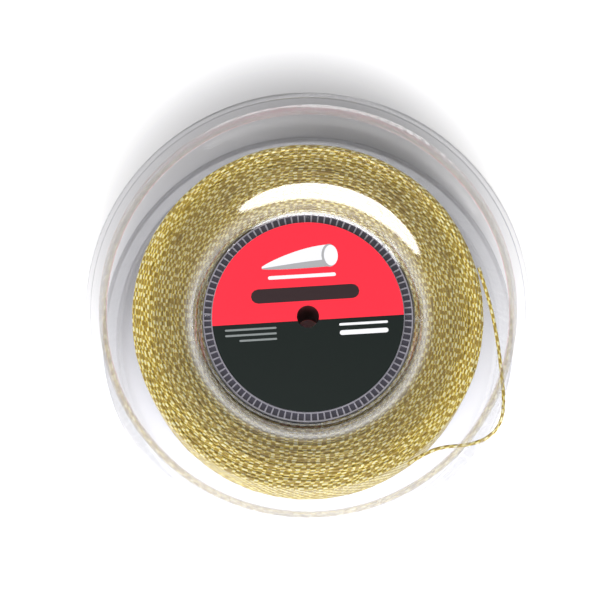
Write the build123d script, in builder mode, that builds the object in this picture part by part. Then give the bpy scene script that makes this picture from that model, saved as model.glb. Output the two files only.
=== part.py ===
"""Reel of tennis string, lying flat with its front label up.

Two clear dished flanges face each other on a short core drum. Each flange has a broad flat rim with a
short skirt, a step and a sloping dish down to a flat web, and a funnel in its middle that ends in a
floor. The floor carries a round label, and the drum's toothed end shows round the label. A spindle tube
joins the two floors. The string is wound on the drum between the webs, and one slack outer turn stands
off the winding.

The axis of the reel is Z, and the origin is the reel's centre. Every size is in millimetres.
"""

from build123d import *
import math
import os

# Whole reel.
reel_width = 72.0
rim_radius = 78.0
wall = 1.6

# Rim, step and dish of a flange, from the outside in. Depths are taken from the rim's outer face.
rim_band = 5.6
rim_edge_radius = 1.2
rim_inner_radius = 1.2
skirt_height = 4.0
step_run = 2.6
step_depth = 5.4
step_foot_radius = 0.6
ledge_run = 2.1
ledge_depth = 6.5
ledge_radius = 0.5
dish_run = 9.7
dish_radius = 1.2
web_depth = 13.0

# Funnel and floor in the middle of a flange.
recess_depth = 20.0
floor_radius = 37.8
funnel_run = 6.7
mouth_radius = 15.0
floor_corner_radius = 2.0
collar_height = 3.0
collar_wall = 1.6

# Core drum and the teeth on its two ends.
drum_wall = 3.4
teeth = 96
tooth_width = 0.5
tooth_height = 1.4
tooth_lip = 0.45
keys = 4

# Spindle tube.
bore_radius = 4.0
spindle_wall = 2.0

# Labels.
label_thickness = 0.3

# String.
string_diameter = 1.3
winding_radius = 63.0
winding_edge_radius = 2.0
anchor_hole_radius = 0.9
anchor_angle = 200.0
knot_radius = 1.9

# Clearances.
seat_gap = 0.1
slip_gap = 0.15
winding_gap = 0.3

# Route of the slack outer turn's middle line. It leaves the winding along it and comes back along it.
slack_points = [
    (61.4, 17.6, 17.2),
    (65.1, 5.6, 17.6),
    (67.6, -8.0, 18.1),
    (68.9, -20.5, 18.6),
    (69.7, -31.2, 18.9),
    (68.6, -38.5, 18.9),
    (64.2, -44.0, 18.6),
    (56.5, -46.6, 18.1),
    (48.0, -47.0, 17.7),
    (41.6, -49.2, 17.4),
    (35.2, -53.2, 17.2),
]

# Sizes that follow from the ones above.
rim_face = reel_width / 2
web_face = rim_face - web_depth
floor_face = rim_face - recess_depth
floor_back = floor_face - wall
drum_outer = floor_radius
drum_inner = drum_outer - drum_wall
drum_end = floor_back - seat_gap
tooth_pitch = math.pi * (drum_inner + drum_outer) / teeth
pocket_width = tooth_pitch - tooth_width
pocket_length = drum_wall - 2 * tooth_lip
spindle_outer = bore_radius + spindle_wall
hub_radius = spindle_outer + seat_gap
label_radius = drum_inner
winding_inner = drum_outer + seat_gap

# Outer face of a flange's section as (radius, height), from the skirt's edge in to the spindle tube,
# with the radius of each corner between its two ends.
step_top = rim_radius - rim_band
step_foot = step_top - step_run
ledge = step_foot - ledge_run
flange_face = [
    (rim_radius, rim_face - skirt_height),
    (rim_radius, rim_face),
    (step_top, rim_face),
    (step_foot, rim_face - step_depth),
    (ledge, rim_face - ledge_depth),
    (ledge - dish_run, web_face),
    (floor_radius + funnel_run, web_face),
    (floor_radius, floor_face),
    (hub_radius, floor_face),
]
face_radii = [
    rim_edge_radius,
    rim_inner_radius,
    step_foot_radius,
    ledge_radius,
    dish_radius,
    mouth_radius,
    floor_corner_radius,
]


def parallel(points, radii, distance):
    """Corners and corner radii of the line that runs beside an open polyline, on its left."""
    runs = []
    for (r0, z0), (r1, z1) in zip(points, points[1:]):
        length = math.hypot(r1 - r0, z1 - z0)
        runs.append(((r1 - r0) / length, (z1 - z0) / length))
    moved = [(points[0][0] - runs[0][1] * distance, points[0][1] + runs[0][0] * distance)]
    moved_radii = []
    for (r, z), (ar, az), (br, bz), radius in zip(points[1:], runs, runs[1:], radii):
        scale = distance / (1 + ar * br + az * bz)
        moved.append((r - (az + bz) * scale, z + (ar + br) * scale))
        turns_left = ar * bz - az * br > 0
        moved_radii.append(radius - distance if turns_left else radius + distance)
    moved.append((points[-1][0] - runs[-1][1] * distance, points[-1][1] + runs[-1][0] * distance))
    return moved, [max(radius, 0.2) for radius in moved_radii]


# Front flange: the dished wall, a collar inside each end of the drum and round the spindle tube, and
# keys that stop the drum from turning.
flange_back, back_radii = parallel(flange_face, face_radii, wall)
with BuildPart() as front_flange:
    with BuildSketch(Plane.XZ):
        with BuildLine():
            FilletPolyline(*flange_face, radius=face_radii)
            Line(flange_face[-1], flange_back[-1])
            FilletPolyline(*flange_back, radius=back_radii)
            Line(flange_back[0], flange_face[0])
        make_face()
    revolve(axis=Axis.Z)
    with BuildSketch(Plane.XY.offset(floor_back)):
        Circle(drum_inner - seat_gap)
        Circle(drum_inner - seat_gap - collar_wall, mode=Mode.SUBTRACT)
        Circle(hub_radius + collar_wall)
        Circle(hub_radius, mode=Mode.SUBTRACT)
    extrude(amount=-collar_height)
    with BuildSketch(Plane.XY.offset(floor_back)):
        with PolarLocations((drum_inner + drum_outer) / 2, keys):
            Rectangle(pocket_length - 2 * slip_gap, pocket_width - 2 * slip_gap)
    extrude(amount=-(tooth_height - slip_gap))

with BuildPart() as back_flange:
    mirror(front_flange.part, about=Plane.XY)

# Core drum: a tube between the floors. Both its ends have a ring of pockets between two lips, which
# leaves narrow teeth, and its wall has a hole for the string's start.
anchor_side = Vector(1, 0, 0).rotate(Axis.Z, anchor_angle)
with BuildPart() as core_drum:
    with BuildSketch(Plane.XY.offset(-drum_end)):
        Circle(drum_outer)
        Circle(drum_inner, mode=Mode.SUBTRACT)
    extrude(amount=2 * drum_end)
    for end, inwards in ((drum_end, -1), (-drum_end, 1)):
        with BuildSketch(Plane.XY.offset(end)):
            with PolarLocations((drum_inner + drum_outer) / 2, teeth):
                Rectangle(pocket_length, pocket_width)
        extrude(amount=inwards * tooth_height, mode=Mode.SUBTRACT)
    with BuildSketch(Plane(origin=(0, 0, 0), z_dir=anchor_side)):
        Circle(anchor_hole_radius)
    extrude(amount=drum_outer + seat_gap, mode=Mode.SUBTRACT)

# Spindle tube: flush with the outer faces of both floors.
with BuildPart() as spindle_tube:
    with BuildSketch(Plane.XY.offset(-floor_face)):
        Circle(spindle_outer)
        Circle(bore_radius, mode=Mode.SUBTRACT)
    extrude(amount=2 * floor_face)

# Labels: thin discs on the floors, punched to the size of the bore.
with BuildPart() as front_label:
    with BuildSketch(Plane.XY.offset(floor_face)):
        Circle(label_radius)
        Circle(bore_radius, mode=Mode.SUBTRACT)
    extrude(amount=label_thickness)

with BuildPart() as back_label:
    mirror(front_label.part, about=Plane.XY)

# Winding: fills the channel from the drum out, and follows the funnels and webs at its two sides.
side, side_radii = parallel(flange_face[4:], face_radii[4:], wall + winding_gap)
side_top = side[2][1]
slope = (side[2][0] - side[3][0]) / (side[2][1] - side[3][1])
drum_height = side[3][1] + (winding_inner - side[3][0]) / slope
with BuildPart() as string_winding:
    with BuildSketch(Plane.XZ):
        with BuildLine():
            FilletPolyline(
                (winding_inner, 0),
                (winding_inner, drum_height),
                side[2],
                (winding_radius, side_top),
                (winding_radius, 0),
                radius=[0.3, side_radii[1], winding_edge_radius],
            )
            Line((winding_radius, 0), (winding_inner, 0))
        make_face()
    revolve(axis=Axis.Z)
    mirror(about=Plane.XY)

# Start of the string: a stem through the hole in the drum, knotted inside it.
knot_centre = drum_inner - seat_gap - knot_radius
with BuildPart() as string_anchor:
    with BuildSketch(Plane(origin=anchor_side * knot_centre, z_dir=anchor_side)):
        Circle(string_diameter / 2)
    extrude(amount=drum_outer - knot_centre)
    with Locations(anchor_side * knot_centre):
        Sphere(knot_radius)


def corner_radius(before, corner, after):
    """Radius of a bend in the string: 0.45 of its shorter run, over the tangent of half the turn."""
    run_in, run_out = Vector(corner) - Vector(before), Vector(after) - Vector(corner)
    half_turn = math.radians(run_in.get_angle(run_out)) / 2
    return 0.45 * min(run_in.length, run_out.length) / math.tan(half_turn)


# Slack outer turn.
slack_radii = [corner_radius(*slack_points[n - 1 : n + 2]) for n in range(1, len(slack_points) - 1)]
with BuildPart() as string_tail:
    with BuildLine() as slack_route:
        FilletPolyline(*slack_points, radius=slack_radii)
    with BuildSketch(Plane(origin=slack_route.line @ 0, z_dir=slack_route.line % 0)):
        Circle(string_diameter / 2)
    sweep()
slack_length = sum(edge.length for edge in slack_route.edges())
slack_volume = math.pi * (string_diameter / 2) ** 2 * slack_length
print("bend radii of the slack turn", [round(radius, 1) for radius in slack_radii])
print("slack turn", round(slack_length, 1), "long, volume ratio", round(string_tail.part.volume / slack_volume, 4))

pieces = {
    "front_flange": front_flange,
    "back_flange": back_flange,
    "core_drum": core_drum,
    "spindle_tube": spindle_tube,
    "front_label": front_label,
    "back_label": back_label,
    "string_winding": string_winding,
    "string_tail": string_tail,
    "string_anchor": string_anchor,
}
os.makedirs("parts", exist_ok=True)
for name, piece in pieces.items():
    piece.part.label = name
    export_step(piece.part, f"parts/{name}.step")
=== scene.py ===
"""Looks of a reel of tennis string, built around its solid model.

Clear flanges, toothed core drum, spindle tube, labels with their print, wound string and its slack turn.
"""

import math

import bpy
import numpy as np
from bpy.props import FloatProperty, FloatVectorProperty, IntProperty, PointerProperty
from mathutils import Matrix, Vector


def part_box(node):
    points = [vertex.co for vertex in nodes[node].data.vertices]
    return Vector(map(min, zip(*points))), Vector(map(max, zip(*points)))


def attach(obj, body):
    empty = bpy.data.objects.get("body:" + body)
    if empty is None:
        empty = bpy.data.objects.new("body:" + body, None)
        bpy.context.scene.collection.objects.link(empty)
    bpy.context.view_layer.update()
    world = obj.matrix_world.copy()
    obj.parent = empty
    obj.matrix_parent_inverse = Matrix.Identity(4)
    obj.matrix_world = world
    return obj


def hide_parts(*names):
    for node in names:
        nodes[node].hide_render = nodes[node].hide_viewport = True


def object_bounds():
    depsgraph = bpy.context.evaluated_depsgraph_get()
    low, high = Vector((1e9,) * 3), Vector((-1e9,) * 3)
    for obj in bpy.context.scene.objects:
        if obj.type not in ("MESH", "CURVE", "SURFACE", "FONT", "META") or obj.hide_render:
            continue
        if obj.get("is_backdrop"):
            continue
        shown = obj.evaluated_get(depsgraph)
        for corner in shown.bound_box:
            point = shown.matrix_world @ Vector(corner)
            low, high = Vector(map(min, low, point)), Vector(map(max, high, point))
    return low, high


bl_info = {
    "name": "String Reel",
    "version": (1, 0, 0),
    "blender": (4, 5, 0),
    "location": "View3D > Sidebar > String Reel",
    "description": "Builds the finished look of a reel of tennis string around its solid model",
    "category": "Add Mesh",
}

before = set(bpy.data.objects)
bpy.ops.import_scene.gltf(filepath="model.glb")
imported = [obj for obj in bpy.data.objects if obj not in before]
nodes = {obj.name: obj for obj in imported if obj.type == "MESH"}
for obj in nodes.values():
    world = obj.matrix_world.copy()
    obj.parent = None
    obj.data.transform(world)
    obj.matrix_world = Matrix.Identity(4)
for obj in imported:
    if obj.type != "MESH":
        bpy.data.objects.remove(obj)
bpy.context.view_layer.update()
RIM_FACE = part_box("front_flange")[1].z
RIM_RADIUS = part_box("front_flange")[1].x
LABEL_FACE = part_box("front_label")[1].z
WINDING_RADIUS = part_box("string_winding")[1].x
WINDING_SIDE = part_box("string_winding")[1].z
DRUM_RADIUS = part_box("core_drum")[1].x

# Turn of the print on the labels, and of the line between their two colours.
LABEL_LEAN = math.radians(3.5)

# The inks on a label, in the order of its materials.
WHITE, BLACK, GREY, SHADE = range(4)

# Lines of print, as left end, right end, height, thickness and ink.
PRINTED_LINES = [
    (-0.0200, 0.0190, 0.0083, 0.0052, BLACK),
    (-0.0135, 0.0110, 0.0148, 0.0013, WHITE),
    (-0.0300, -0.0115, -0.0034, 0.0007, GREY),
    (-0.0300, -0.0115, -0.0054, 0.0007, GREY),
    (-0.0250, -0.0115, -0.0074, 0.0007, GREY),
    (0.0110, 0.0285, -0.0036, 0.0009, WHITE),
    (0.0110, 0.0285, -0.0066, 0.0017, WHITE),
]

# Route of the slack outer turn's middle line, in metres.
SLACK_POINTS = [
    (0.0614, 0.0176, 0.0172),
    (0.0651, 0.0056, 0.0176),
    (0.0676, -0.0080, 0.0181),
    (0.0689, -0.0205, 0.0186),
    (0.0697, -0.0312, 0.0189),
    (0.0686, -0.0385, 0.0189),
    (0.0642, -0.0440, 0.0186),
    (0.0565, -0.0466, 0.0181),
    (0.0480, -0.0470, 0.0177),
    (0.0416, -0.0492, 0.0174),
    (0.0352, -0.0532, 0.0172),
]


def ink(red, green, blue):
    """A colour given as it looks on screen, 0 to 255, as the linear colour that a shader takes."""
    def linear(value):
        value /= 255
        return value / 12.92 if value <= 0.04045 else ((value + 0.055) / 1.055) ** 2.4
    return (linear(red), linear(green), linear(blue))


def colour(name, description, value):
    """A colour that a user can change."""
    return FloatVectorProperty(
        name=name, description=description, default=value, subtype="COLOR", size=3, min=0, max=1
    )


def length(name, description, value):
    """A length in metres that a user can change."""
    return FloatProperty(name=name, description=description, default=value, subtype="DISTANCE", unit="LENGTH")


class ReelSizes(bpy.types.PropertyGroup):
    """Sizes of the string and of how it lies on the reel."""

    string_diameter: length("String diameter", "Thickness of the string", 0.0013)
    lay_length: length("Lay length", "Length of string in which the flecks repeat twice", 0.0066)
    layer_pitch: length("Layer pitch", "Distance outwards from one nested turn to the next", 0.00106)
    side_drop: length("Side drop", "How much deeper every second turn lies", 0.00072)
    waver: length("Waver", "How far a turn strays from its line", 0.00013)
    funnel_edge: length("Funnel edge", "Radius where the winding's side bends down along the funnel", 0.0456)
    funnel_slope: FloatProperty(name="Funnel slope", description="Drop over run by the funnel", default=1.045)
    turn_steps: IntProperty(name="Turn steps", description="Straight pieces in one turn", default=216)
    turn_sides: IntProperty(name="Sides", description="Sides of the string's section", default=8)


class ReelColours(bpy.types.PropertyGroup):
    """Colours of the reel's finishes."""

    gold: colour("Gold fleck", "Body of a fleck on the string", ink(255, 236, 96))
    tan: colour("Ochre edge", "Edge of a fleck", ink(248, 222, 96))
    groove: colour("Olive ground", "Dark ground between the flecks", ink(176, 148, 62))
    # The pale middle of a fleck is a painted highlight.
    pale: colour("Pale middle", "Middle of a fleck", ink(255, 250, 205))
    plastic_tint: colour("Plastic tint", "Light that the clear plastic lets through", ink(248, 248, 249))
    core: colour("Core plastic", "Smoky violet drum", ink(92, 87, 106))
    # The pale tops of the drum's teeth are a painted highlight.
    core_edge: colour("Core edge", "Pale tops of the drum's teeth", ink(226, 222, 234))
    spindle: colour("Spindle plastic", "Dark maroon tube", ink(88, 38, 42))
    label_red: colour("Label red", "Far half of the label", ink(251, 48, 66))
    label_dark: colour("Label dark", "Near half of the label", ink(24, 31, 29))
    print_white: colour("White print", "White lines on the label", ink(240, 240, 244))
    print_black: colour("Black print", "Black band on the label", ink(40, 20, 24))
    print_grey: colour("Grey print", "Small grey lines on the label", ink(132, 138, 138))
    floor: colour("Floor", "Floor and backdrop", ink(226, 226, 229))


# Materials.


def new_material(name):
    """A material with an empty node tree and its output, as (material, nodes, links, output)."""
    material = bpy.data.materials.new(name)
    material.use_nodes = True
    tree = material.node_tree
    tree.nodes.clear()
    return material, tree.nodes, tree.links, tree.nodes.new("ShaderNodeOutputMaterial")


def shader(tree_nodes, **sockets):
    """A Principled BSDF with the given constants on its sockets."""
    made = tree_nodes.new("ShaderNodeBsdfPrincipled")
    for name, value in sockets.items():
        made.inputs[name.replace("_", " ")].default_value = value
    return made


def ramp(tree_nodes, stops):
    """A colour ramp with stops as (place, colour)."""
    made = tree_nodes.new("ShaderNodeValToRGB")
    made.color_ramp.elements[0].position = stops[0][0]
    made.color_ramp.elements[0].color = (*stops[0][1], 1)
    made.color_ramp.elements[1].position = stops[-1][0]
    made.color_ramp.elements[1].color = (*stops[-1][1], 1)
    for place, value in stops[1:-1]:
        made.color_ramp.elements.new(place).color = (*value, 1)
    return made


def sums(tree_nodes, links, operation, first, second):
    """A Math node whose inputs are sockets or numbers; returns its output."""
    made = tree_nodes.new("ShaderNodeMath")
    made.operation = operation
    for socket, value in zip(made.inputs, (first, second)):
        if isinstance(value, (int, float)):
            socket.default_value = value
        else:
            links.new(value, socket)
    return made.outputs[0]


def noise(tree_nodes, links, where, scale, detail=3.0):
    """A noise texture over a place in metres, from 0 to 1; returns its output."""
    made = tree_nodes.new("ShaderNodeTexNoise")
    made.inputs["Scale"].default_value = scale
    made.inputs["Detail"].default_value = detail
    links.new(where, made.inputs["Vector"])
    return made.outputs["Fac"]


def bump(tree_nodes, links, height, depth, target, strength=1.0):
    """Gives a shader small relief, depth metres high, from a height from 0 to 1."""
    made = tree_nodes.new("ShaderNodeBump")
    made.inputs["Strength"].default_value = strength
    made.inputs["Distance"].default_value = depth
    links.new(height, made.inputs["Height"])
    links.new(made.outputs[0], target.inputs["Normal"])


def mix_colour(tree_nodes, links, factor, first, second, blend="MIX"):
    """A colour mix whose inputs are sockets, numbers or colours; returns its output."""
    made = tree_nodes.new("ShaderNodeMix")
    made.data_type = "RGBA"
    made.blend_type = blend
    for socket, value in ((made.inputs[0], factor), (made.inputs[6], first), (made.inputs[7], second)):
        if isinstance(value, (int, float)):
            socket.default_value = value
        elif isinstance(value, bpy.types.NodeSocket):
            links.new(value, socket)
        else:
            socket.default_value = (*value, 1)
    return made.outputs[2]


def braided_string():
    """Braided string: an olive ground with short bright flecks that alternate round it and along it, each
    with a painted highlight in its pale middle.
    """
    found = bpy.data.materials.get("braided_string")
    if found:
        return found
    two_waves = 4 * math.pi
    straying_of_flecks, bias, contrast, lean = 5.0, -0.2, 1.8, 0.18
    shades = bpy.context.scene.reel_colours
    material, tree, links, output = new_material("braided_string")
    coat = shader(tree, Roughness=0.34, IOR=1.5, Coat_Weight=0.25, Coat_Roughness=0.18)
    links.new(coat.outputs[0], output.inputs[0])
    uv = tree.new("ShaderNodeUVMap")
    uv.uv_map = "along_string"
    place = tree.new("ShaderNodeSeparateXYZ")
    links.new(uv.outputs[0], place.inputs[0])
    where = tree.new("ShaderNodeTexCoord").outputs["Object"]
    # Two flecks in each lay length, unevenly placed and cut off hard at both ends.
    unevenness = sums(tree, links, "MULTIPLY", noise(tree, links, where, 190.0, 2.0), straying_of_flecks)
    along = sums(tree, links, "MULTIPLY", place.outputs[0], two_waves)
    along = sums(tree, links, "COSINE", sums(tree, links, "ADD", along, unevenness), 0)
    along = sums(tree, links, "MULTIPLY", sums(tree, links, "ADD", along, bias), contrast)
    along = sums(tree, links, "MAXIMUM", sums(tree, links, "MINIMUM", along, 1.0), -1.0)
    # Two flecks round the string, which lean as it runs on.
    lay = sums(tree, links, "ADD", place.outputs[1], sums(tree, links, "MULTIPLY", place.outputs[0], lean))
    around = sums(tree, links, "COSINE", sums(tree, links, "MULTIPLY", lay, two_waves), 0)
    flecks = sums(tree, links, "MULTIPLY", along, around)
    flecks = sums(tree, links, "ADD", sums(tree, links, "MULTIPLY", flecks, 0.5), 0.5)
    # The pale middle of each fleck is a painted highlight on the strand.
    strands = ramp(tree, [
        (0.0, shades.groove),
        (0.42, shades.groove),
        (0.54, shades.tan),
        (0.64, shades.gold),
        (0.88, shades.pale),
        (1.0, shades.pale),
    ])
    links.new(flecks, strands.inputs[0])
    # Some flecks are worn away, and the whole string varies a little in shade.
    worn = ramp(tree, [(0.28, (0, 0, 0)), (0.42, (1, 1, 1))])
    links.new(noise(tree, links, where, 330.0, 1.0), worn.inputs[0])
    braid = mix_colour(tree, links, worn.outputs[0], shades.groove, strands.outputs[0])
    cloud = ramp(tree, [(0.3, (0.86, 0.84, 0.8)), (0.65, (1.0, 1.0, 1.0))])
    links.new(noise(tree, links, where, 45.0), cloud.inputs[0])
    links.new(mix_colour(tree, links, 1.0, braid, cloud.outputs[0], "MULTIPLY"), coat.inputs[0])
    bump(tree, links, flecks, 0.0001, coat, 0.7)
    return material


def seen_directly(tree_nodes, links):
    """1 for rays that the camera, a mirror or glass sees, and 0 for those that only light the scene."""
    path = tree_nodes.new("ShaderNodeLightPath").outputs
    mirrored = sums(tree_nodes, links, "MAXIMUM", path["Is Glossy Ray"], path["Is Transmission Ray"])
    return sums(tree_nodes, links, "MAXIMUM", path["Is Camera Ray"], mirrored)


def clear_plastic():
    """Thin clear plastic: light goes straight through with a faint tint, and the surface mirrors by Fresnel.

    The mirror is scaled by radius, as a share of the rim's: strong in the funnel's mouth, nearly none on
    the sloping dish, weak on the ledge and plain on the rim.
    """
    mouth, dish, ledge, rim = 0.95, 0.02, 0.1, 0.5
    gain, most = 2.0, 0.55
    shades = bpy.context.scene.reel_colours
    material, tree, links, output = new_material("clear_moulded_plastic")
    see_through = tree.new("ShaderNodeBsdfTransparent")
    see_through.inputs[0].default_value = (*shades.plastic_tint, 1)
    mirror = tree.new("ShaderNodeBsdfGlossy")
    mirror.inputs["Color"].default_value = (1, 1, 1, 1)
    mirror.inputs["Roughness"].default_value = 0.06
    edge = tree.new("ShaderNodeFresnel")
    edge.inputs["IOR"].default_value = 1.58
    where = tree.new("ShaderNodeTexCoord").outputs["Object"]
    ripple = noise(tree, links, where, 55.0, 2.0)
    for target in (mirror, edge):
        bump(tree, links, ripple, 0.00022, target, 0.5)
    flat = tree.new("ShaderNodeVectorMath")
    flat.operation = "MULTIPLY"
    flat.inputs[1].default_value = (1 / RIM_RADIUS, 1 / RIM_RADIUS, 0)
    links.new(where, flat.inputs[0])
    radius = tree.new("ShaderNodeVectorMath")
    radius.operation = "LENGTH"
    links.new(flat.outputs[0], radius.inputs[0])
    polish = ramp(tree, [(place, (value, value, value)) for place, value in (
        (0.0, mouth), (0.68, mouth), (0.74, dish), (0.86, dish),
        (0.88, ledge), (0.9, ledge), (0.92, rim), (1.0, rim),
    )])
    links.new(radius.outputs["Value"], polish.inputs[0])
    strength = sums(tree, links, "MULTIPLY", polish.outputs[0], gain)
    share = sums(tree, links, "MULTIPLY", edge.outputs[0], strength)
    share = sums(tree, links, "MINIMUM", share, most)
    surface = tree.new("ShaderNodeMixShader")
    links.new(share, surface.inputs[0])
    links.new(see_through.outputs[0], surface.inputs[1])
    links.new(mirror.outputs[0], surface.inputs[2])
    links.new(surface.outputs[0], output.inputs[0])
    return material


def moulded(name, base, edge, roughness, top):
    """Solid moulded plastic with a faint mottle; its end faces beyond the height top on either side take the
    edge colour, a painted highlight.
    """
    dark_spots, highlight_mottle = 0.7, 0.6
    material, tree, links, output = new_material(name)
    body = shader(tree, Roughness=roughness, IOR=1.5)
    links.new(body.outputs[0], output.inputs[0])
    where = tree.new("ShaderNodeTexCoord").outputs["Object"]
    mottle = noise(tree, links, where, 400.0)
    height = tree.new("ShaderNodeSeparateXYZ")
    links.new(where, height.inputs[0])
    # Painted highlight: the end faces beyond the height top take the paler edge colour.
    tops = sums(tree, links, "GREATER_THAN", sums(tree, links, "ABSOLUTE", height.outputs[2], 0), top)
    shade = mix_colour(tree, links, mottle, base, [dark_spots * value for value in base])
    painted_highlight_tops = mix_colour(tree, links, mottle, edge, [highlight_mottle * value for value in edge])
    links.new(mix_colour(tree, links, tops, shade, painted_highlight_tops), body.inputs[0])
    bump(tree, links, mottle, 0.00004, body, 0.4)
    return material


def label_card():
    """Coated card: one half red and the other nearly black, with a faint paper grain."""
    meeting_line = -0.0014
    shades = bpy.context.scene.reel_colours
    material, tree, links, output = new_material("printed_label_card")
    card = shader(tree, Roughness=0.36, IOR=1.45, Specular_IOR_Level=0.25)
    links.new(card.outputs[0], output.inputs[0])
    where = tree.new("ShaderNodeTexCoord").outputs["Object"]
    place = tree.new("ShaderNodeSeparateXYZ")
    links.new(where, place.inputs[0])
    lean = sums(tree, links, "MULTIPLY", place.outputs[0], -math.tan(LABEL_LEAN))
    side = sums(tree, links, "GREATER_THAN", sums(tree, links, "ADD", place.outputs[1], lean), meeting_line)
    two_tone = mix_colour(tree, links, side, shades.label_dark, shades.label_red)
    grain = noise(tree, links, where, 1500.0)
    soft = mix_colour(tree, links, 0.06, two_tone, grain, "OVERLAY")
    links.new(soft, card.inputs[0])
    bump(tree, links, grain, 0.00002, card, 0.3)
    return material


def printed_ink(name, value):
    """Flat printing ink with the same paper grain as the card."""
    material, tree, links, output = new_material(name)
    film = shader(tree, Roughness=0.4)
    links.new(film.outputs[0], output.inputs[0])
    where = tree.new("ShaderNodeTexCoord").outputs["Object"]
    grain = noise(tree, links, where, 1500.0)
    links.new(mix_colour(tree, links, grain, value, [0.92 * part for part in value]), film.inputs[0])
    return material


def dress(piece, *materials):
    """Gives a piece these materials, in order, in place of any that it has."""
    if piece.data.materials:
        piece.data.materials.clear()
    for material in materials:
        piece.data.materials.append(material)


# Meshes.


def add_piece(name, mesh):
    """Puts a mesh or curve into the scene as an object."""
    piece = bpy.data.objects.new(name, mesh)
    bpy.context.scene.collection.objects.link(piece)
    return piece


def string_mesh(name, paths, across, diameter, sides, lay_length):
    """One mesh of round string along each path.

    across holds, for each path, a direction roughly square to it at each point. The UV map runs in lay
    lengths along the string and in turns round it.
    """
    points, faces, places = [], [], []
    base = 0
    angles = np.linspace(0, 2 * math.pi, sides, endpoint=False)
    for path, side in zip(paths, across):
        along = np.gradient(path, axis=0)
        along /= np.linalg.norm(along, axis=1)[:, None]
        up = np.cross(along, side)
        up /= np.linalg.norm(up, axis=1)[:, None]
        side = np.cross(up, along)
        ring = (
            path[:, None, :]
            + diameter / 2 * np.cos(angles)[None, :, None] * side[:, None, :]
            + diameter / 2 * np.sin(angles)[None, :, None] * up[:, None, :]
        )
        count = len(path)
        points.append(ring.reshape(-1, 3))
        row, column = np.meshgrid(np.arange(count - 1), np.arange(sides), indexing="ij")
        after = (column + 1) % sides
        faces.append(np.stack([
            base + row * sides + column,
            base + row * sides + after,
            base + (row + 1) * sides + after,
            base + (row + 1) * sides + column,
        ], axis=-1).reshape(-1, 4))
        run = np.concatenate([[0], np.cumsum(np.linalg.norm(np.diff(path, axis=0), axis=1))]) / lay_length
        u0, u1 = run[row], run[row + 1]
        v0, v1 = column / sides, (column + 1) / sides
        places.append(np.stack([
            np.stack([u0, v0], -1), np.stack([u0, v1], -1), np.stack([u1, v1], -1), np.stack([u1, v0], -1),
        ], axis=-2).reshape(-1, 2))
        base += count * sides
    quads = np.concatenate(faces)
    polygons = quads.tolist()
    start = 0
    end_places = []
    for path in paths:
        last = start + (len(path) - 1) * sides
        polygons.append(list(range(start + sides - 1, start - 1, -1)))
        polygons.append(list(range(last, last + sides)))
        end_places.append(np.zeros((2 * sides, 2)))
        start += len(path) * sides
    mesh = bpy.data.meshes.new(name)
    mesh.from_pydata(np.concatenate(points).tolist(), [], polygons)
    layer = mesh.uv_layers.new(name="along_string")
    layer.data.foreach_set("uv", np.concatenate(places + end_places).astype(np.float32).ravel())
    mesh.polygons.foreach_set("use_smooth", [True] * len(quads) + [False] * (2 * len(paths)))
    mesh.update()
    return mesh


def straying(chance, run, size):
    """A smooth, uneven wander along a run, up to about two and a half times the size given."""
    total = np.zeros_like(run)
    for wavelength in (0.011, 0.019, 0.034, 0.06, 0.13):
        span = wavelength * chance.uniform(0.8, 1.25)
        total += chance.uniform(0.3, 1.0) * np.sin(2 * math.pi * run / span + chance.uniform(0, 2 * math.pi))
    return size * total / 2


def side_height(radius, sizes):
    """Height of the string's middle line on the side of the winding, at a radius."""
    clearance, bend = 0.00035, 0.0045
    top = WINDING_SIDE - sizes.string_diameter / 2 - clearance
    inside = sizes.funnel_edge - radius
    return top - sizes.funnel_slope * (inside + np.sqrt(inside ** 2 + bend ** 2)) / 2


def round_the_axis(radius, angle, height):
    """A path from its radius, angle and height at each point, with the outward direction there."""
    path = np.stack([radius * np.cos(angle), radius * np.sin(angle), height], axis=1)
    across = np.stack([np.cos(angle), np.sin(angle), np.zeros_like(angle)], axis=1)
    return path, across


def spiral(sizes, chance, first, last, pitch, drop, begin):
    """One run of string that winds outwards on the winding's side, as (path, across)."""
    shoulder, shoulder_width, shoulder_fall = WINDING_RADIUS - 0.0022, 0.0016, 0.0009
    turns = (last - first) / pitch
    angle = np.linspace(0, 2 * math.pi * turns, int(turns * sizes.turn_steps))
    radius = first + pitch * angle / (2 * math.pi)
    run = np.concatenate([[0], np.cumsum(radius[1:] * np.diff(angle))])
    radius = radius + straying(chance, run, sizes.waver)
    height = side_height(radius, sizes) - drop + straying(chance, run, sizes.waver * 0.8)
    rounding = np.clip((radius - shoulder) / shoulder_width, 0, 1)
    height = height - shoulder_fall * rounding ** 2
    return round_the_axis(radius, angle + begin, height)


def crossing(sizes, chance, first, last, begin, sweep):
    """A length of string that lies across the side's turns, as (path, across)."""
    steps, usual_length, rise = 90, 0.08, 0.00022
    share = np.linspace(0, 1, steps)
    ease = share * share * (3 - 2 * share)
    radius = first + (last - first) * ease + straying(chance, share * usual_length, sizes.waver)
    # It comes up from among the deeper turns, lies just over the others, and goes down again.
    lift = rise * np.sin(math.pi * share) ** 0.6 - sizes.side_drop * (1 - np.sin(math.pi * share))
    return round_the_axis(radius, begin + sweep * share, side_height(radius, sizes) + lift)


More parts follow.
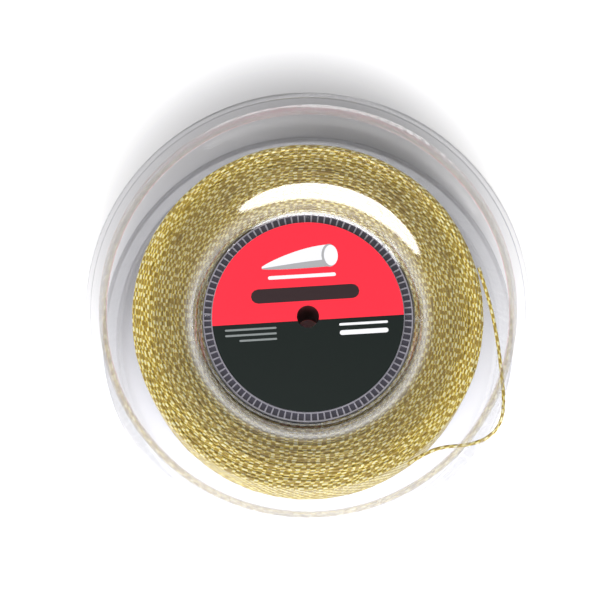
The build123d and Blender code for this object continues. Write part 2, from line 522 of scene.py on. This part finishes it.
def side_turns(sizes, seed):
    """Every run of string on one side of the winding: two nested runs, one under them and lengths across."""
    chance = np.random.default_rng(seed)
    half = sizes.string_diameter / 2
    clearance, under, past_funnel, crossings = 0.0001, 0.0013, 0.003, 7
    first, last = DRUM_RADIUS + half + clearance, WINDING_RADIUS - half - clearance
    pitch = 2 * sizes.layer_pitch
    inner_last = sizes.funnel_edge + past_funnel
    begin = chance.uniform(0, 6)
    runs = [
        spiral(sizes, chance, first, last, pitch, 0.0, begin),
        spiral(sizes, chance, first + sizes.layer_pitch, last, pitch, sizes.side_drop, begin),
        spiral(sizes, chance, first, inner_last, sizes.layer_pitch, under, chance.uniform(0, 6)),
    ]
    for _ in range(crossings):
        start = chance.uniform(0.046, 0.0575)
        end = start + chance.uniform(0.002, 0.005)
        runs.append(crossing(sizes, chance, start, end, chance.uniform(0, 6.28), chance.uniform(0.7, 1.8)))
    return runs


def outer_turns(sizes, seed):
    """The outermost layer, wound side by side from one edge of the winding to the other."""
    chance = np.random.default_rng(seed)
    half = sizes.string_diameter / 2
    shoulder, spacing, clearance = 0.0022, 1.005, 0.00016
    reach = WINDING_SIDE - shoulder
    turns = 2 * reach / (sizes.string_diameter * spacing)
    angle = np.linspace(0, 2 * math.pi * turns, int(turns * sizes.turn_steps))
    height = -reach + 2 * reach * angle / angle[-1]
    run = angle * WINDING_RADIUS
    height = height + straying(chance, run, sizes.waver * 0.8)
    radius = WINDING_RADIUS - half - clearance + straying(chance, run, sizes.waver * 0.9)
    return [round_the_axis(radius, angle, height)]


def string_piece(name, runs, sizes, flipped=False):
    """One piece of wound string from its runs, turned over for the back."""
    paths = [path * (1, 1, -1) if flipped else path for path, _ in runs]
    across = [side for _, side in runs]
    mesh = string_mesh(name, paths, across, sizes.string_diameter, sizes.turn_sides, sizes.lay_length)
    piece = add_piece(name, mesh)
    dress(piece, braided_string())
    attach(piece, "root")
    return piece


def lathe(name, outline, steps=180):
    """A closed solid of revolution about Z, from its closed outline of (radius, height)."""
    outline = np.array(outline)
    count = len(outline)
    angle = np.linspace(0, 2 * math.pi, steps, endpoint=False)
    points = np.stack([
        outline[None, :, 0] * np.cos(angle)[:, None],
        outline[None, :, 0] * np.sin(angle)[:, None],
        np.broadcast_to(outline[None, :, 1], (steps, count)),
    ], axis=-1).reshape(-1, 3)
    row, column = np.meshgrid(np.arange(steps), np.arange(count), indexing="ij")
    after, beside = (row + 1) % steps, (column + 1) % count
    faces = np.stack([
        row * count + column, after * count + column, after * count + beside, row * count + beside,
    ], axis=-1).reshape(-1, 4)
    mesh = bpy.data.meshes.new(name)
    mesh.from_pydata(points.tolist(), [], faces.tolist())
    mesh.update()
    return mesh


def flat_print(name, shapes, height, flipped):
    """Thin printed shapes on a label as one mesh of closed solids, each from its outline and ink number.

    Each shape stands a little higher than the one before it, so that where two overlap the later one shows.
    """
    film, step = 0.00002, 0.000006
    points, faces, inks = [], [], []
    for order, (outline, number) in enumerate(shapes):
        base, count = len(points), len(outline)
        turn = -1 if flipped else 1
        for level in (height, height + film + step * order):
            points += [(turn * x, y, turn * level) for x, y in outline]
        bottom, top = list(range(base, base + count)), list(range(base + count, base + 2 * count))
        faces.append(bottom[::-1])
        faces.append(top)
        for i in range(count):
            after = (i + 1) % count
            faces.append([bottom[i], bottom[after], top[after], top[i]])
        inks += [number] * (count + 2)
    mesh = bpy.data.meshes.new(name)
    mesh.from_pydata(points, [], faces)
    mesh.polygons.foreach_set("material_index", inks)
    mesh.update()
    return mesh


def leaned(x, y):
    """A place on the label, turned to the lean of its print."""
    cosine, sine = math.cos(LABEL_LEAN), math.sin(LABEL_LEAN)
    return (x * cosine - y * sine, x * sine + y * cosine)


def bar(x0, x1, y, thick):
    """A line of print with rounded ends, from x0 to x1 at height y, at the label's lean."""
    corners = []
    half = thick / 2
    for middle, begin in ((x1 - half, -90), (x0 + half, 90)):
        for step in range(7):
            turn = math.radians(begin + 30 * step)
            corners.append(leaned(middle + half * math.cos(turn), y + half * math.sin(turn)))
    return corners


def drawn_string(share):
    """The drawn string's place, middle height and half width, from its far tip at 0 to its cut end at 1."""
    x = -0.0155 + 0.0245 * share
    half = 0.0004 + 0.0036 * math.sin(math.pi / 2 * share) ** 0.8
    return x, 0.0218 - 0.0032 * (1 - share) ** 1.6, half


def cut_end():
    """A plain drawing of the cut end of a string: a tapering length, its shaded side and its round end."""
    steps = [drawn_string(i / 16) for i in range(17)]
    top = [(x, y + half) for x, y, half in steps]
    bottom = [(x, y - half) for x, y, half in steps]
    shade_line = [(x, y - 0.35 * half) for x, y, half in steps]
    x_end, y_end, half_end = drawn_string(1)
    ring = [(math.cos(math.radians(15 * i)), math.sin(math.radians(15 * i))) for i in range(24)]
    edge_width, edge_height = 0.0028, half_end + 0.0002
    face_middle, face_width, face_height = x_end + 0.0006, 0.0025, half_end * 0.95
    return [
        ([leaned(*corner) for corner in bottom + top[::-1]], WHITE),
        ([leaned(*corner) for corner in bottom + shade_line[::-1]], SHADE),
        ([leaned(x_end + edge_width * c, y_end + edge_height * s) for c, s in ring], SHADE),
        ([leaned(face_middle + face_width * c, y_end + face_height * s) for c, s in ring], WHITE),
    ]


def require_nodes(*names):
    """Raises an error if a solid that an operator needs isn't in the model."""
    missing = [name for name in names if name not in nodes]
    if missing:
        raise RuntimeError(f"the solid model has no {', '.join(missing)}")


# Stage.


def open_floor_share(tree, links, ground):
    """0 on the floor under the reel and where its shadow falls, and 1 on the open floor."""
    shadow_middle, inner, outer = (-0.008, 0.034, ground), 0.055, 0.108
    offset = tree.new("ShaderNodeVectorMath")
    offset.operation = "SUBTRACT"
    offset.inputs[1].default_value = shadow_middle
    links.new(tree.new("ShaderNodeTexCoord").outputs["Object"], offset.inputs[0])
    away = tree.new("ShaderNodeVectorMath")
    away.operation = "LENGTH"
    links.new(offset.outputs[0], away.inputs[0])
    share = tree.new("ShaderNodeMapRange")
    share.interpolation_type = "SMOOTHSTEP"
    share.inputs["From Min"].default_value = inner
    share.inputs["From Max"].default_value = outer
    links.new(away.outputs["Value"], share.inputs["Value"])
    return share.outputs[0]


def pale_floor(shades, ground):
    """Matt pale floor that shows white where no shadow falls, without lighting the reel. The white is painted
    light, a glow seen by the camera, in mirrors and through the clear plastic, and its gap under the reel and
    where its shadow falls is a painted shadow.
    """
    whiteness = 0.95
    material, tree, links, output = new_material("pale_floor")
    paint = shader(tree, Base_Color=(*shades.floor, 1), Roughness=0.9, Specular_IOR_Level=0.1)
    glow = tree.new("ShaderNodeEmission")
    glow.inputs[0].default_value = (1, 1, 1, 1)
    # Painted light: the glow, left off under the reel and its shadow as a painted shadow.
    painted_glow_share = sums(tree, links, "MULTIPLY", seen_directly(tree, links), open_floor_share(tree, links, ground))
    links.new(sums(tree, links, "MULTIPLY", painted_glow_share, whiteness), glow.inputs[1])
    both = tree.new("ShaderNodeAddShader")
    links.new(paint.outputs[0], both.inputs[0])
    links.new(glow.outputs[0], both.inputs[1])
    links.new(both.outputs[0], output.inputs[0])
    return material


def add_floor(shades):
    """A wide flat floor at the reel's foot."""
    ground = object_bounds()[0].z
    reach = 3.0
    mesh = bpy.data.meshes.new("floor")
    mesh.from_pydata(
        [(-reach, -reach, ground), (reach, -reach, ground), (reach, reach, ground), (-reach, reach, ground)],
        [], [(0, 1, 2, 3)],
    )
    floor = add_piece("floor", mesh)
    dress(floor, pale_floor(shades, ground))
    floor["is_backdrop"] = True


def add_world(scene):
    """Dim even light from all round, whose walls show white to the camera and in mirrors."""
    dim, white_walls, wall_top, wall_foot = 0.17, 0.83, 0.8, 0.35
    world = bpy.data.worlds.new("studio")
    world.use_nodes = True
    sky, links = world.node_tree.nodes, world.node_tree.links
    sky["Background"].inputs[0].default_value = (1, 1, 1, 1)
    height = sky.new("ShaderNodeSeparateXYZ")
    links.new(sky.new("ShaderNodeTexCoord").outputs["Generated"], height.inputs[0])
    walls = sky.new("ShaderNodeMapRange")
    walls.interpolation_type = "SMOOTHSTEP"
    walls.inputs["From Min"].default_value = wall_top
    walls.inputs["From Max"].default_value = wall_foot
    links.new(height.outputs[2], walls.inputs["Value"])
    white = sums(sky, links, "MULTIPLY", seen_directly(sky, links), walls.outputs[0])
    white = sums(sky, links, "MULTIPLY", white, white_walls)
    links.new(sums(sky, links, "ADD", white, dim), sky["Background"].inputs[1])
    scene.world = world


def add_lamp(scene, name, azimuth, elevation, distance, width, depth, power):
    """A soft oval lamp that faces the reel. Azimuth runs clockwise from +Y, seen from above."""
    data = bpy.data.lights.new(name, "AREA")
    data.shape, data.size, data.size_y, data.energy = "ELLIPSE", width, depth, power
    lamp = bpy.data.objects.new(name, data)
    scene.collection.objects.link(lamp)
    turn, rise = math.radians(azimuth), math.radians(elevation)
    away = Vector((math.sin(turn) * math.cos(rise), math.cos(turn) * math.cos(rise), math.sin(rise)))
    lamp.location = away * distance
    lamp.rotation_mode = "QUATERNION"
    lamp.rotation_quaternion = (-away).to_track_quat("-Z", "Y")


def add_camera(scene):
    """A camera that looks steeply down on the front flange."""
    elevation, distance = math.radians(80.5), 0.793
    target = Vector((-0.0007, 0.0005, RIM_FACE))
    camera = bpy.data.objects.new("camera", bpy.data.cameras.new("camera"))
    scene.collection.objects.link(camera)
    camera.data.sensor_width = 36
    camera.data.lens = 133.3
    away = Vector((0, -math.cos(elevation), math.sin(elevation)))
    camera.location = target + distance * away
    camera.rotation_mode = "QUATERNION"
    camera.rotation_quaternion = (-away).to_track_quat("-Z", "Y")
    camera.data.clip_start, camera.data.clip_end = 0.01, 20
    scene.camera = camera


# Operators.


class REEL_OT_stage(bpy.types.Operator):
    """Add the floor, surrounding light, lamp and camera"""

    bl_idname = "reel.stage"
    bl_label = "Stage"

    def execute(self, context):
        scene = context.scene
        add_floor(scene.reel_colours)
        add_world(scene)
        add_lamp(scene, "window", azimuth=197, elevation=56, distance=1.0, width=1.4, depth=0.9, power=16.5)
        add_camera(scene)
        scene.view_settings.view_transform = "Standard"
        return {"FINISHED"}


class REEL_OT_slack_turn(bpy.types.Operator):
    """Add the slack outer turn of string"""

    bl_idname = "reel.slack_turn"
    bl_label = "Slack turn"

    def execute(self, context):
        require_nodes("string_tail")
        sizes = context.scene.reel_sizes
        sides = 12
        curve = bpy.data.curves.new("slack_route", "CURVE")
        curve.dimensions = "3D"
        curve.resolution_u = 16
        spline = curve.splines.new("NURBS")
        spline.points.add(len(SLACK_POINTS) - 1)
        for point, place in zip(spline.points, SLACK_POINTS):
            point.co = (*place, 1)
        spline.order_u = 3
        spline.use_endpoint_u = True
        route = add_piece("slack_route", curve)
        line = bpy.data.meshes.new_from_object(route)
        path = np.array([vertex.co for vertex in line.vertices], float)
        bpy.data.objects.remove(route)
        along = np.gradient(path, axis=0)
        across = np.cross(along, (0, 0, 1))
        across /= np.linalg.norm(across, axis=1)[:, None]
        mesh = string_mesh("slack_turn", [path], [across], sizes.string_diameter, sides, sizes.lay_length)
        piece = add_piece("slack_turn", mesh)
        dress(piece, braided_string())
        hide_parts("string_tail")
        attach(piece, "root")
        return {"FINISHED"}


class REEL_OT_flanges(bpy.types.Operator):
    """Finish both clear flanges"""

    bl_idname = "reel.flanges"
    bl_label = "Flanges"

    def execute(self, context):
        require_nodes("front_flange", "back_flange")
        material = clear_plastic()
        for name in ("front_flange", "back_flange"):
            dress(nodes[name], material)
        return {"FINISHED"}


class REEL_OT_core(bpy.types.Operator):
    """Finish the toothed core drum, the spindle tube and the knotted start of the string"""

    bl_idname = "reel.core"
    bl_label = "Core"

    def execute(self, context):
        require_nodes("core_drum", "spindle_tube", "string_anchor")
        shades = context.scene.reel_colours
        skin, end_highlight_gain = 0.00005, 1.6
        drum_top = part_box("core_drum")[1].z - skin
        tube_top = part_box("spindle_tube")[1].z - skin
        # The tube's end faces are painted paler than its plastic, and the drum's tooth tops take the core
        # edge colour: painted highlights.
        pale = [min(1.0, end_highlight_gain * value) for value in shades.spindle]
        drum_finish = moulded("smoky_core_plastic", shades.core, shades.core_edge, 0.35, drum_top)
        tube_finish = moulded("maroon_spindle_plastic", shades.spindle, pale, 0.4, tube_top)
        dress(nodes["core_drum"], drum_finish)
        dress(nodes["spindle_tube"], tube_finish)
        dress(nodes["string_anchor"], printed_ink("knotted_string_end", shades.gold))
        return {"FINISHED"}


class REEL_OT_labels(bpy.types.Operator):
    """Finish both labels and add their print"""

    bl_idname = "reel.labels"
    bl_label = "Labels"

    def execute(self, context):
        require_nodes("front_label", "back_label")
        shades = context.scene.reel_colours
        card = label_card()
        inks = [
            printed_ink("white_ink", shades.print_white),
            printed_ink("black_ink", shades.print_black),
            printed_ink("grey_ink", shades.print_grey),
            printed_ink("shade_ink", [0.45 * value for value in shades.print_white]),
        ]
        shapes = [(bar(*place), number) for *place, number in PRINTED_LINES] + cut_end()
        above_card = LABEL_FACE + 0.00001
        for side, flipped in (("front", False), ("back", True)):
            dress(nodes[f"{side}_label"], card)
            name = f"{side}_print"
            piece = add_piece(name, flat_print(name, shapes, above_card, flipped))
            dress(piece, *inks)
            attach(piece, "root")
        return {"FINISHED"}


class REEL_OT_winding(bpy.types.Operator):
    """Add the wound string: the turns on both sides, the outermost layer and the body under them"""

    bl_idname = "reel.winding"
    bl_label = "Winding"

    def execute(self, context):
        require_nodes("string_winding")
        sizes = context.scene.reel_sizes
        shades = context.scene.reel_colours
        string_piece("winding_front_turns", side_turns(sizes, 5), sizes)
        string_piece("winding_back_turns", side_turns(sizes, 11), sizes, flipped=True)
        outer = string_piece("winding_outer_turns", outer_turns(sizes, 17), sizes)
        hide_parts("string_winding")
        under, off_drum, off_outside, rings = 0.0013, 0.0002, 0.0016, 24
        radii = np.linspace(DRUM_RADIUS + off_drum, WINDING_RADIUS - off_outside, rings)
        heights = side_height(radii, sizes) - under
        front = list(zip(radii, heights))
        outline = front + [(radius, -height) for radius, height in front[::-1]]
        core = add_piece("winding_body", lathe("winding_body", outline))
        # The body stands for the string packed under the turns, painted at half the ground colour: painted
        # shade where it shows between them.
        dress(core, printed_ink("shaded_packed_string", [0.5 * value for value in shades.groove]))
        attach(core, "root")
        return {"FINISHED"}


class REEL_PT_panel(bpy.types.Panel):
    """Lists the reel's sizes, colours and pieces"""

    bl_idname = "REEL_PT_panel"
    bl_label = "String Reel"
    bl_space_type = "VIEW_3D"
    bl_region_type = "UI"
    bl_category = "String Reel"

    def draw(self, context):
        layout = self.layout
        for group in (context.scene.reel_sizes, context.scene.reel_colours):
            box = layout.box()
            for name in type(group).__annotations__:
                box.prop(group, name)
        for operator in OPERATORS:
            layout.operator(operator.bl_idname)


OPERATORS = (
    REEL_OT_stage,
    REEL_OT_slack_turn,
    REEL_OT_flanges,
    REEL_OT_core,
    REEL_OT_labels,
    REEL_OT_winding,
)
CLASSES = (ReelSizes, ReelColours, *OPERATORS, REEL_PT_panel)


def register():
    for item in CLASSES:
        bpy.utils.register_class(item)
    bpy.types.Scene.reel_sizes = PointerProperty(type=ReelSizes)
    bpy.types.Scene.reel_colours = PointerProperty(type=ReelColours)


def unregister():
    del bpy.types.Scene.reel_colours
    del bpy.types.Scene.reel_sizes
    for item in reversed(CLASSES):
        bpy.utils.unregister_class(item)


def main():
    register()
    bpy.ops.reel.stage()
    bpy.ops.reel.slack_turn()
    bpy.ops.reel.flanges()
    bpy.ops.reel.core()
    bpy.ops.reel.labels()
    bpy.ops.reel.winding()


if __name__ == "__main__":
    main()
